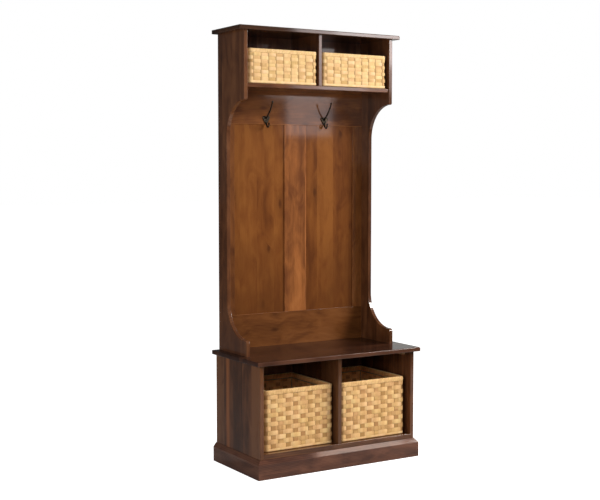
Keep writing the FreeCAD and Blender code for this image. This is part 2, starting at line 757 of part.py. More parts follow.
def basket(name, corner, width, depth, height, rim_height):
    """One basket, by its lower left front corner and the box that it fills."""
    centre = corner + Vector(width / 2, depth / 2, basket_seat_gap)
    half_w, half_d = width / 2, depth / 2
    rim_under = height - basket_seat_gap - rim_height
    rim_top = rim_under + rim_height

    def lean(z):
        return basket_lean * z / rim_under

    shell = leaning_column(half_w, half_d, 0, rim_under, 0, basket_lean)
    hollow_top = rim_under + overrun
    hollow = leaning_column(half_w, half_d, basket_wall, hollow_top,
                            basket_wall + lean(basket_wall), basket_wall + lean(hollow_top))
    save(name + "_body", shell.cut(hollow).translated(centre))
    wire_inset = basket_wall + basket_frame_gap + basket_frame_radius
    rim_width = basket_lean + wire_inset + basket_frame_radius + basket_rim_cover
    rim = rounded_column(half_w, half_d, rim_under, rim_top, basket_corner_radius)
    mouth = rounded_column(half_w - rim_width, half_d - rim_width, rim_under - overrun,
                           rim_top + overrun, basket_corner_radius - rim_width)
    save(name + "_rim", rim.cut(mouth).translated(centre))
    low_z = wire_inset
    top_z = rim_under - basket_frame_gap - basket_frame_radius
    pieces, post_ends = [], []
    for z in (low_z, top_z):
        inset = wire_inset + lean(z)
        bend = basket_corner_radius - inset
        pieces += hoop(half_w - inset, half_d - inset, z, bend)
        post_ends.append((inset + bend * (1 - math.sqrt(0.5)), z))
    for x_side in (-1, 1):
        for y_side in (-1, 1):
            foot, head = [Vector(x_side * (half_w - inset), y_side * (half_d - inset), z)
                          for inset, z in post_ends]
            run = head - foot
            pieces.append(Part.makeCylinder(basket_post_radius, run.Length, foot, run))
    frame = pieces[0].fuse(pieces[1:])
    save(name + "_frame", frame.translated(centre))


lower_bay = bench_inner_half - bench_divider_half
lower_width = lower_bay - lower_basket_play
lower_depth = (y_bench_back - y_bench_front) - lower_basket_recess - lower_basket_rear_play
lower_height = seat_under - deck_height - lower_basket_headroom
lower_front = y_bench_front + lower_basket_recess
lower_left_x = -bench_inner_half + lower_left_basket_gap
lower_right_x = bench_divider_half + lower_right_basket_gap
basket("lower_basket_left",
       Vector(lower_left_x, lower_front + lower_left_basket_push, deck_height),
       lower_width, lower_depth, lower_height, lower_basket_rim_height)
basket("lower_basket_right", Vector(lower_right_x, lower_front, deck_height),
       lower_width, lower_depth, lower_height, lower_basket_rim_height)

upper_bay = hutch_inner_half - cubby_divider_half
upper_width = upper_bay - upper_basket_play
upper_front = y_shelf_front + upper_basket_recess
upper_depth = y_cubby_back - upper_front - upper_basket_rear_play
upper_height = top_under - shelf_top - upper_basket_headroom
upper_inner_x = cubby_divider_half + upper_basket_divider_gap
basket("upper_basket_left", Vector(-upper_inner_x - upper_width, upper_front, shelf_top),
       upper_width, upper_depth, upper_height, upper_basket_rim_height)
basket("upper_basket_right", Vector(upper_inner_x, upper_front, shelf_top),
       upper_width, upper_depth, upper_height, upper_basket_rim_height)
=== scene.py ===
import math

import bpy
import numpy as np
from mathutils import Euler, Matrix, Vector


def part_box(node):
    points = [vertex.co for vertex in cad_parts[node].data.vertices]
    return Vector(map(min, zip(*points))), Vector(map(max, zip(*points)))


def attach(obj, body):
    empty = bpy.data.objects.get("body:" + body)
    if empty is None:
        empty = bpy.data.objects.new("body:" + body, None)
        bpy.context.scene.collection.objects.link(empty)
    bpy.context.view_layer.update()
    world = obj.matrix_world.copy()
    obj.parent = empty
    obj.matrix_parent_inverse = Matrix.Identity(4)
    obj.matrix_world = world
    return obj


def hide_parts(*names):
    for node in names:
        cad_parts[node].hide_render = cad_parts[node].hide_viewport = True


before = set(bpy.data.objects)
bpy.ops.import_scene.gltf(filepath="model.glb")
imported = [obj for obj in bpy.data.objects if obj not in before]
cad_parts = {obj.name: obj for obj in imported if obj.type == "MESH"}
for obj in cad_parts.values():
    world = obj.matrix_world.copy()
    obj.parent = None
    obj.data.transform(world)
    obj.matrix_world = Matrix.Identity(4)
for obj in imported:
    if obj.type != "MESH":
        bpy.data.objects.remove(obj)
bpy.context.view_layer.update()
scene = bpy.context.scene
scene.view_settings.view_transform = "Standard"


# Camera: at chest height, well to the left of the bench, looking a little down
# across it. The lens is long, so the uprights stay nearly parallel.
lens, sensor, farthest = 69.709, 36, 200
camera_place, down, aside = (-2.9452, -4.6528, 1.37915), 3.901, 31.479
camera_data = bpy.data.cameras.new("camera")
camera_data.lens = lens
camera_data.sensor_width = sensor
camera_data.clip_end = farthest
camera = bpy.data.objects.new("camera", camera_data)
camera.location = camera_place
camera.rotation_euler = (math.radians(90 - down), 0, math.radians(-aside))
scene.collection.objects.link(camera)
scene.camera = camera


# Floor and light: a wide pale floor in an even white studio. A large soft window at
# the front right lights the bench, small panes near it show in the lacquer of the
# edges, and weak lights from the left and from behind lift the sides.
def put(tree, kind, feeds=(), out=0, **settings):
    """Adds a shader node with its settings, and gives back one of its outputs.
    Each feed is an input of the node with the number or the output that it gets."""
    made = tree.nodes.new("ShaderNode" + kind)
    for key, value in settings.items():
        setattr(made, key, value)
    for socket, value in dict(feeds).items():
        if isinstance(value, bpy.types.NodeSocket):
            tree.links.new(value, made.inputs[socket])
        else:
            made.inputs[socket].default_value = value
    return made.outputs[out] if len(made.outputs) else None


def ramp(tree, share, stops):
    """Colour by a share, straight from stop to stop. A stop is a place and a colour."""
    made = tree.nodes.new("ShaderNodeValToRGB")
    band = made.color_ramp.elements
    band.remove(band[1])
    band[0].position, band[0].color = stops[0][0], (*stops[0][1], 1)
    for place, colour in stops[1:]:
        band.new(place).color = (*colour, 1)
    tree.links.new(share, made.inputs[0])
    return made.outputs[0]


def finish(name, constants):
    """A new material with its tree and shader, and the shader's unvarying values set."""
    made = bpy.data.materials.new(name)
    made.use_nodes = True
    shader = made.node_tree.nodes["Principled BSDF"]
    for socket, value in constants.items():
        shader.inputs[socket].default_value = value
    return made, made.node_tree, shader


white = (1, 1, 1, 1)
floor_half, floor_front = 40.0, -2.2
floor_dark, floor_pale = (0.40, 0.40, 0.40), (0.44, 0.44, 0.44)
around_strength, behind_strength = 0.07, 1.0
floor_mesh = bpy.data.meshes.new("floor")
floor_mesh.from_pydata([(-floor_half, floor_front, 0), (floor_half, floor_front, 0),
                        (floor_half, floor_half, 0), (-floor_half, floor_half, 0)],
                       [], [(0, 1, 2, 3)])
floor = bpy.data.objects.new("floor", floor_mesh)
scene.collection.objects.link(floor)
floor_finish, tree, shader = finish("pale_floor", {"Roughness": 0.9, "Emission Strength": 1.0})
mottle = put(tree, "TexNoise", {"Scale": 1.5, "Vector": put(tree, "TexCoord", out="Object")})
tree.links.new(ramp(tree, mottle, [(0.3, floor_dark), (0.7, floor_pale)]),
               shader.inputs["Base Color"])
seen = put(tree, "LightPath", out="Is Camera Ray")
tree.links.new(seen, shader.inputs["Emission Color"])
floor_mesh.materials.append(floor_finish)

world = bpy.data.worlds.new("studio")
world.use_nodes = True
scene.world = world
tree = world.node_tree
tree.nodes.clear()
seen = put(tree, "LightPath", out="Is Camera Ray")
around = put(tree, "Background", {"Color": white, "Strength": around_strength})
behind = put(tree, "Background", {"Color": white, "Strength": behind_strength})
put(tree, "OutputWorld", {"Surface": put(tree, "MixShader", {0: seen, 1: around, 2: behind})})

for name, place, aim, size, watts, colour, turn, spread, mirrored in (
        ("window_light", (3.63, -2.18, 3.1), (0, 0, 1.2), (2.6, 1.1), 320,
         (1, 0.97, 0.92), 0, 180, True),
        ("window_edge", (3.01, -3.953, 2.65), (0.1, 0, 1.9), (0.65, 0.7), 16,
         (1, 0.93, 0.92), 0, 180, True),
        ("window_corner", (2.589, -4.223, 2.65), (0, 0, 1.9), (0.35, 0.7), 4.6,
         (1, 0.9, 0.9), 0, 180, True),
        ("window_foot", (2.862, -4.048, 2.185), (0.1, 0, 1.9), (1.0, 0.23), 2.3,
         (1, 0.9, 0.88), 0, 180, True),
        ("card_light", (1.665, -2.345, 1.88), (0.07, 0.2, 1.8), (0.34, 0.48), 1.3,
         (1, 0.87, 0.87), 0, 180, True),
        ("bevel_card", (2.696, -2.066, 3.527), (0.046, -0.306, 0.167), (0.75, 0.2), 2.6,
         (1, 0.82, 0.71), 133, 180, True),
        ("fill_light", (-2.3, -4.3, 2.4), (0, 0, 1.0), (2.0, 2.0), 32,
         (1, 0.98, 0.96), 0, 180, True),
        ("side_light", (-2.3, -1.2, 1.05), (0, 0, 1.0), (1.5, 1.5), 31,
         (0.98, 0.98, 1), 0, 180, False),
        ("wall_card", (3.7, 4.4, 1.3), (0.4, 0, 0.6), (2.0, 1.6), 5,
         (0.95, 1, 0.97), 0, 180, True),
        ("back_light", (3.3, 3.1, 1.4), (0, 0.15, 1.1), (1.6, 1.6), 34,
         (1, 0.98, 0.96), 0, 50, False)):
    lamp = bpy.data.lights.new(name, "AREA")
    lamp.shape = "RECTANGLE"
    lamp.size, lamp.size_y = size
    lamp.energy = watts
    lamp.spread = math.radians(spread)
    lamp.color = colour
    light = bpy.data.objects.new(name, lamp)
    light.location = place
    light.visible_camera = False
    light.visible_glossy = mirrored
    toward = np.array(aim) - np.array(place)
    aimed = Euler((math.acos(-toward[2] / np.linalg.norm(toward)), 0,
                   math.atan2(-toward[0], toward[1]))).to_matrix()
    light.rotation_euler = (aimed @ Matrix.Rotation(math.radians(turn), 3, "Z")).to_euler()
    scene.collection.objects.link(light)


# Bench case: two sides, a deck, a divider and the rails of the base, of solid softwood
# glued up from strips, stained a deep red brown and lacquered. The deck and the divider
# stand in housings.
def calc(tree, how, *values):
    """The result of one step of arithmetic on numbers or outputs."""
    return put(tree, "Math", dict(enumerate(values)), operation=how)


def remap(tree, value, low, high, start, end):
    """Start where the value is low and end where it is high, straight in between."""
    return put(tree, "MapRange", {"Value": value, 1: low, 2: high, 3: start, 4: end})


def mixed(tree, share, low, high, how="MIX"):
    """Two colours mixed by a share, low at 0 and high at 1."""
    return put(tree, "Mix", {0: share, 6: low, 7: high}, out=2, data_type="RGBA",
               blend_type=how)


def stained(name, order, strip, seed, tones, knots=0.0, gloss=1.0, uneven=0.24,
            streak=None, dusty=False):
    """Stained wood. Order names the axes along the grain, across the face and through it.
    Year rings are circles about a line behind the face, pulled out along the grain and warped
    by slow noise. Fine noise drawn out along the grain gives fibres and pores, and each strip
    of the glue-up is cut from its own place in the log. Knots are spots of stretched cells.
    A streak is a narrow line of paler sapwood, given by its place across and half its width.
    On a dusty piece the faces turned up have lost their gloss."""
    strip_jump, pith = (3.0, 0.05, 0.03), 0.055
    ring_spread, ring_scale, ring_warp, ring_share = (0.3, 1, 1), 46, 7, 0.09
    fibre_spread, fibre_share = (7, 230, 230), 0.16
    slow_spread, slow_share = (1.3, 13, 13), 0.52
    cloud_spread, cloud_share, cloud_warp = (7, 17, 17), 0.55, 0.9
    pore_spread, pore_depth, pore_shade = (24, 900, 900), 0.3, 0.35
    base_share, dark_at, mid_at, light_at = 0.12, 0.58, 0.78, 0.95
    coat_rough, level = 0.07, 0.04
    made, tree, shader = finish(name, {"Coat Weight": gloss, "Coat Roughness": coat_rough,
                                       "Specular IOR Level": level})
    apart = tree.nodes.new("ShaderNodeSeparateXYZ")
    tree.links.new(put(tree, "TexCoord", out="Object"), apart.inputs[0])
    along, across, deep = (apart.outputs["xyz".index(axis)] for axis in order)
    strip_number = calc(tree, "FLOOR", calc(
        tree, "MULTIPLY_ADD", across, 1 / strip, seed * 0.37))
    chance = tree.nodes.new("ShaderNodeTexWhiteNoise")
    chance.noise_dimensions = "1D"
    tree.links.new(calc(tree, "ADD", strip_number, seed * 7.31), chance.inputs["W"])
    plain = put(tree, "CombineXYZ", {0: along, 1: across, 2: deep})
    log = put(tree, "VectorMath", {0: put(
        tree, "VectorMath", {0: chance.outputs["Color"], 1: strip_jump},
        operation="MULTIPLY"), 1: plain}, operation="ADD")

    def drawn(scale):
        """The place in the log with each axis scaled, to draw a pattern out along the grain."""
        return put(tree, "VectorMath", {0: log, 1: scale, 2: (0.0, seed * 0.11, pith)},
                   operation="MULTIPLY_ADD")

    rings = put(tree, "TexWave", {
        "Vector": drawn(ring_spread), "Scale": ring_scale, "Distortion": ring_warp,
        "Detail": 2, "Detail Scale": 0.13}, wave_type="RINGS", rings_direction="X", out=1)
    fibres = put(tree, "TexNoise", {"Vector": drawn(fibre_spread), "Scale": 1, "Detail": 4})
    slow = put(tree, "TexNoise", {"Vector": drawn(slow_spread), "Scale": 1, "Detail": 2})
    cloud = put(tree, "TexNoise", {"Vector": drawn(cloud_spread), "Scale": 1, "Detail": 3,
                                   "Distortion": cloud_warp})
    share = base_share - uneven / 2
    for source, weight in ((rings, ring_share), (fibres, fibre_share), (slow, slow_share),
                           (cloud, cloud_share), (chance.outputs["Value"], uneven)):
        share = calc(tree, "MULTIPLY_ADD", source, weight, share)
    dark, mid, light = tones
    colour = ramp(tree, share, [(dark_at, dark), (mid_at, mid), (light_at, light)])
    if streak:
        line, half = streak
        bow, paler, most = 0.03, (1.9, 1.6, 1.2), 0.8
        off_line = calc(tree, "MULTIPLY_ADD", slow, bow, calc(
            tree, "SUBTRACT", across, line + bow / 2))
        near = remap(tree, calc(tree, "ABSOLUTE", off_line), half * 1.2, half * 0.3, 0.0, most)
        pale = [part * gain for part, gain in zip(light, paler)]
        colour = mixed(tree, near, colour, (*pale, 1))
    if knots:
        spread_along, spread_across, shade = 4.2, 9.5, 0.6
        cells = tree.nodes.new("ShaderNodeTexVoronoi")
        cells.voronoi_dimensions = "2D"
        cells.inputs["Scale"].default_value = 1
        tree.links.new(put(tree, "CombineXYZ", {
            0: calc(tree, "MULTIPLY_ADD", along, spread_along, seed * 1.7),
            1: calc(tree, "MULTIPLY_ADD", across, spread_across, seed * 0.9)}),
            cells.inputs["Vector"])
        kept = calc(tree, "GREATER_THAN", put(
            tree, "SeparateXYZ", {0: cells.outputs["Color"]}), 1 - knots)
        for reach, strength, tone in ((0.34, 0.4, mid), (0.12, 0.7, dark)):
            near = remap(tree, cells.outputs["Distance"], reach, reach * 0.3, 0.0, strength)
            near = calc(tree, "MULTIPLY", near, kept)
            colour = mixed(tree, near, colour, (*[part * shade for part in tone], 1))
    pores = put(tree, "TexNoise", {"Vector": drawn(pore_spread), "Scale": 1, "Detail": 1})
    open_pores = remap(tree, pores, 0.6, 0.72, 0.0, pore_depth)
    colour = mixed(tree, open_pores, colour, (*[part * pore_shade for part in dark], 1))
    tree.links.new(colour, shader.inputs["Base Color"])
    if dusty:
        facing = put(tree, "SeparateXYZ", {0: put(tree, "NewGeometry", out="Normal")}, out=2)
        for socket, clean in (("Coat Weight", gloss), ("Specular IOR Level", level)):
            tree.links.new(remap(tree, facing, 0.9, 0.99, clean, 0.0), shader.inputs[socket])
    tree.links.new(remap(tree, fibres, 0.3, 0.7, 0.4, 0.52), shader.inputs["Roughness"])
    tree.links.new(put(tree, "Bump", {"Strength": 0.25, "Distance": 0.0004, "Height": fibres}),
                   shader.inputs["Normal"])
    return made


def dress(node, made):
    """Gives a CAD node one finish in each of its slots."""
    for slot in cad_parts[node].material_slots:
        slot.material = made


def toned(share, *tones):
    """Stain tones, dark to light, all made lighter or deeper by one share."""
    return [tuple(share * part for part in tone) for tone in tones]


case_tones = ((0.045, 0.015, 0.006), (0.095, 0.034, 0.013), (0.150, 0.058, 0.022))
sapwood_line, sapwood_half = 0.107, 0.019
for seed, (node, order, strip, share) in enumerate((
        ("bench_side_left", "zyx", 0.088, 1.0), ("bench_side_right", "zyx", 0.092, 1.3),
        ("bench_divider", "zyx", 0.084, 0.65), ("bench_deck", "xyz", 0.096, 1.0),
        ("base_front_rail", "xzy", 0.12, 1.0), ("base_back_rail", "xzy", 0.12, 1.0)), start=1):
    dress(node, stained(node + "_stain", order, strip, seed, toned(share, *case_tones),
                        uneven=0.4 if order == "zyx" else 0.24,
                        streak=((sapwood_line, sapwood_half)
                                if node == "bench_side_left" else None)))

# Bench back: a thin veneered sheet with a plainer figure, let into rabbets in the
# sides and screwed on from behind.
back_tones = ((0.060, 0.026, 0.017), (0.135, 0.058, 0.034), (0.205, 0.095, 0.055))
dress("bench_back_panel", stained(
    "bench_back_stain", "zxy", 0.21, 11, toned(1.35, *back_tones)))

# Blocks and cleats under the seat and deck: unstained offcuts of the same wood,
# sawn square, glued and screwed where they do not show.
raw_tones = ((0.20, 0.10, 0.045), (0.34, 0.19, 0.09), (0.46, 0.28, 0.14))
for seed, (node, order) in enumerate((
        ("seat_cleat_left", "yzx"), ("seat_cleat_middle", "yzx"), ("seat_cleat_right", "yzx"),
        ("corner_blocks", "zxy")), start=21):
    dress(node, stained(node + "_wood", order, 0.09, seed, raw_tones))

# Seat: a wide board glued up from strips, screwed on from below. Its deep tones are partly
# its stain and partly painted shade. A paler band along its rounded front edge is a painted
# highlight.
def tone_band(made, axis, start, full, tone):
    """Turns the stain to one tone in soft patches, from start to full along an axis. On the
    seat's front edge this paints a highlight, and on the back panels it paints shade.
    """
    tree = made.node_tree
    stain = tree.nodes["Principled BSDF"].inputs["Base Color"]
    colour = stain.links[0].from_socket
    place = put(tree, "SeparateXYZ", {0: put(tree, "TexCoord", out="Object")},
                out="xyz".index(axis))
    patch_scale, least, most = 3.1, 0.15, 0.9
    patches = put(tree, "TexNoise", {"Vector": put(tree, "TexCoord", out="Object"),
                                     "Scale": patch_scale, "Detail": 3})
    patch_share = remap(tree, patches, 0.35, 0.6, least, most)
    near = remap(tree, place, start, full, 0.0, patch_share)
    tree.links.new(mixed(tree, near, colour, (*tone, 1)), stain)
    return made


# Painted shade: these tones are partly the stain and partly shade that falls on the seat.
seat_stain_and_shade_tones = ((0.017, 0.0055, 0.003), (0.035, 0.012, 0.0065), (0.057, 0.021, 0.011))
seat_highlight_start, seat_highlight_full, seat_highlight_tone = 0.003, 0.001, (0.15, 0.062, 0.035)
seat_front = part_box("seat_board")[0][1]
# Painted highlight: a paler band along the seat's rounded front edge stands for the sheen of
# that edge.
dress("seat_board", tone_band(
    stained("seat_stain", "xyz", 0.098, 31, seat_stain_and_shade_tones, gloss=0.75),
    "y", seat_front + seat_highlight_start, seat_front + seat_highlight_full, seat_highlight_tone))

# Plinth: a bevelled moulding of the case wood round three sides of the base, mitred
# at the front corners and screwed on from inside.
plinth_tones = ((0.055, 0.019, 0.011), (0.130, 0.048, 0.026), (0.200, 0.082, 0.045))
for seed, (node, order, share) in enumerate((
        ("plinth_front", "xzy", 1.0), ("plinth_left", "yzx", 0.68),
        ("plinth_right", "yzx", 0.8)), start=41):
    dress(node, stained(node + "_stain", order, 0.13, seed, toned(share, *plinth_tones)))

# Hutch: two coved sides, a shelf, a divider and a top board, all solid wood in the
# stain of the case, let into each other and dowelled at the top, with a thin back sheet.
# The left side is deeper in tone at its foot, and the top has a dull upper face.
foot_top, foot_full, foot_tone = 0.68, 0.58, (0.060, 0.020, 0.010)
for seed, (node, order, strip, share) in enumerate((
        ("hutch_side_left", "zyx", 0.085, 1.2), ("hutch_side_right", "zyx", 0.085, 1.0),
        ("cubby_divider", "zyx", 0.12, 1.0), ("cubby_shelf", "xyz", 0.085, 1.8),
        ("top_board", "xyz", 0.091, 0.5)), start=51):
    made = stained(node + "_stain", order, strip, seed, toned(share, *case_tones),
                   dusty=node == "top_board")
    if node == "hutch_side_left":
        tone_band(made, "z", foot_top, foot_full, foot_tone)
    dress(node, made)
dress("cubby_back", stained("cubby_back_stain", "zxy", 0.19, 57, back_tones, gloss=0.3))

# Panelled back: rails and stiles of solid wood, tenoned together, with flat panels in
# their grooves. The panels are knotty and take the stain lighter and warmer, and towards
# the seat they are painted deeper in tone as painted shade.
frame_tones = ((0.090, 0.028, 0.008), (0.200, 0.068, 0.018), (0.270, 0.098, 0.028))
panel_tones = ((0.095, 0.026, 0.0045), (0.170, 0.052, 0.0095), (0.230, 0.079, 0.0155))
panel_shade_start, panel_shade_full, panel_shade_tone = 1.1, 0.75, (0.100, 0.030, 0.0055)
# The bottom rail's deeper share is partly its stain and partly painted shade that falls on it.
for seed, (node, order, share) in enumerate((
        ("hook_rail", "xzy", 1.15), ("back_bottom_rail", "xzy", 0.75),
        ("back_stile_left", "zxy", 1.0), ("back_stile_centre", "zxy", 1.45),
        ("back_stile_right", "zxy", 1.0)), start=61):
    dress(node, stained(node + "_stain", order, 0.17, seed, toned(share, *frame_tones),
                        knots=0.15, gloss=0.5 if node == "back_bottom_rail" else 1.0))
# Painted shade: the panels darken in patches towards the seat.
for seed, node in enumerate(("back_panel_left", "back_panel_right"), start=71):
    dress(node, tone_band(stained(node + "_stain", "zxy", 0.094, seed, panel_tones, knots=0.28),
                       "z", panel_shade_start, panel_shade_full, panel_shade_tone))

# Dowels and screws: plain beech pins glued into the top joints, and zinc-plated wood
# screws under the seat, behind the plinth and in the backs.
beech_tones = ((0.42, 0.26, 0.13), (0.58, 0.38, 0.20), (0.68, 0.48, 0.28))
dress("top_dowels", stained("dowel_beech", "zxy", 0.2, 81, beech_tones))


def metal(name, dark, light, smooth, rough, size, bare=0.95):
    """Metal whose colour and roughness drift with noise of one size, dull where it is dark.
    Bare is 0 where a coat of paint hides the metal."""
    made, tree, shader = finish(name, {"Metallic": bare})
    place = put(tree, "TexCoord", out="Object")
    drift = put(tree, "TexNoise", {"Vector": place, "Scale": 1 / size, "Detail": 5})
    tree.links.new(ramp(tree, drift, [(0.38, dark), (0.64, light)]), shader.inputs["Base Color"])
    tree.links.new(remap(tree, drift, 0.3, 0.7, rough, smooth), shader.inputs["Roughness"])
    tree.links.new(put(tree, "Bump", {"Strength": 0.2, "Distance": 0.0003, "Height": drift}),
                   shader.inputs["Normal"])
    return made


zinc_dark, zinc_light = (0.42, 0.41, 0.38), (0.66, 0.65, 0.61)
zinc = metal("zinc", zinc_dark, zinc_light, 0.26, 0.45, 0.004)
for node in ("seat_screws", "hutch_screws", "plinth_screws", "back_screws"):
    dress(node, zinc)

# Coat hooks: cast zinc in an oil-rubbed bronze finish, drifting in patches from nearly
# black to a paler bronze, held by three screws each.
bronze_dark, bronze_light = (0.018, 0.015, 0.012), (0.085, 0.066, 0.044)
bronze = metal("rubbed_bronze", bronze_dark, bronze_light, 0.24, 0.46, 0.012)
for node in ("coat_hook_left", "coat_hook_right", "hook_screws"):
    dress(node, bronze)


# Baskets: flat strips of split cane plaited over and under flat upright stakes,
# on a welded wire frame, with a folded foot band and a border wound round the rim.
def outline(run, half_w, half_d, bend):
    """Point and outward direction at a run round a rectangle with quarter-circle corners.
    The heading turns a quarter over each arc and stays on each straight. The centre of the
    turn slides along the straights, and the point lies one bend outward of it."""
    a, b, arc = 2 * (half_w - bend), 2 * (half_d - bend), math.pi / 2 * bend
    knots = np.cumsum([0, a, arc, b, arc, a, arc, b, arc])
    run = np.mod(run, knots[-1])
    x = np.interp(run, knots, np.array([-1, 1, 1, 1, 1, -1, -1, -1, -1]) * a / 2)
    y = np.interp(run, knots, np.array([-1, -1, -1, 1, 1, 1, 1, -1, -1]) * b / 2)
    heading = np.interp(run, knots, np.array([0, 0, 1, 1, 2, 2, 3, 3, 4]) * math.pi / 2)
    outward = np.stack([np.sin(heading), -np.cos(heading)], -1)
    return np.stack([x, y], -1) + bend * outward, outward


def corner_runs(half_w, half_d, bend):
    """The run at the middle of each corner, starting before the front, and the whole run."""
    a, b, arc = 2 * (half_w - bend), 2 * (half_d - bend), math.pi / 2 * bend
    steps = np.array([a, b, a, b]) + arc
    return np.cumsum([-arc / 2, *steps])


class Plait:
    """Gathers grids of points into one mesh of quads, with a strip number and a run as UV."""

    def __init__(self):
        self.points, self.faces, self.uvs, self.count = [], [], [], 0
        self.inner, self.between = [], []

    def add(self, points, uv, joined, whole=0.0, twist=0, inner=(4, 5), between=0.0):
        """Points and uv are strips by steps by ring. A joined strip closes on itself after a
        whole run. Twist shifts the ring's closing edge by that many steps, as on a winding.
        Inner gives the first and the end of the ring's edges that face inward. Between is 1
        where a strip passes from one side of the stakes to the other."""
        strips, steps, ring = points.shape[:3]
        index = self.count + np.arange(strips * steps * ring).reshape(strips, steps, ring)
        ring_index = np.concatenate([index, np.roll(index[:, :, :1], -twist, 1)], 2)
        ring_uv = np.concatenate([uv, uv[:, :, :1]], 2) if not twist else uv
        after, after_uv = np.roll(ring_index, -1, 1), np.roll(ring_uv, -1, 1).copy()
        if joined:
            after_uv[:, -1, :, 0 if not twist else 1] += whole
        else:
            ring_index, ring_uv = ring_index[:, :-1], ring_uv[:, :-1]
            after, after_uv = after[:, :-1], after_uv[:, :-1]
        corners = [(ring_index, ring_uv, slice(None, -1)), (after, after_uv, slice(None, -1)),
                   (after, after_uv, slice(1, None)), (ring_index, ring_uv, slice(1, None))]
        self.faces.append(np.stack([i[:, :, part] for i, _, part in corners], -1).reshape(-1, 4))
        self.uvs.append(np.stack([u[:, :, part] for _, u, part in corners], -2).reshape(-1, 2))
        inward = (np.arange(ring) >= inner[0]) & (np.arange(ring) < inner[1])
        self.inner.append(np.tile(inward.astype(float), len(self.faces[-1]) // ring))
        if not joined:
            half = ring // 2
            for step, turn in ((0, 1), (steps - 1, -1)):
                for side in range(half - 1):
                    cap = [side, side + 1, ring - 2 - side, ring - 1 - side][::turn]
                    self.faces.append(index[:, step][:, cap])
                    self.uvs.append(uv[:, step][:, cap].reshape(-1, 2))
                    self.inner.append(np.zeros(strips))
        self.points.append(points.reshape(-1, 3))
        self.between.append(np.broadcast_to(between, points.shape[:3]).ravel())
        self.count += strips * steps * ring

    def mesh(self, name):
        """The gathered mesh, smooth except along sharp folds."""
        sharp_from = 55
        made = bpy.data.meshes.new(name)
        made.from_pydata(np.concatenate(self.points).tolist(), [],
                         np.concatenate(self.faces).tolist())
        layer = made.uv_layers.new(name="strip")
        layer.data.foreach_set("uv", np.concatenate(self.uvs).astype(np.float32).ravel())
        inner = made.attributes.new("inner", "FLOAT", "FACE")
        inner.data.foreach_set("value", np.concatenate(self.inner))
        between = made.attributes.new("between", "FLOAT", "POINT")
        between.data.foreach_set("value", np.concatenate(self.between))
        made.polygons.foreach_set("use_smooth", np.ones(len(made.polygons), bool))
        made.set_sharp_from_angle(angle=math.radians(sharp_from))
        return made


# Strips are numbered by kind, weavers from 0, then the fold, the stakes, the two layers
# of the bottom and the turns of the border. The finish tells them apart by that.
fold_number, first_stake, first_bottom, second_bottom, first_turn = 40, 60, 100, 140, 200


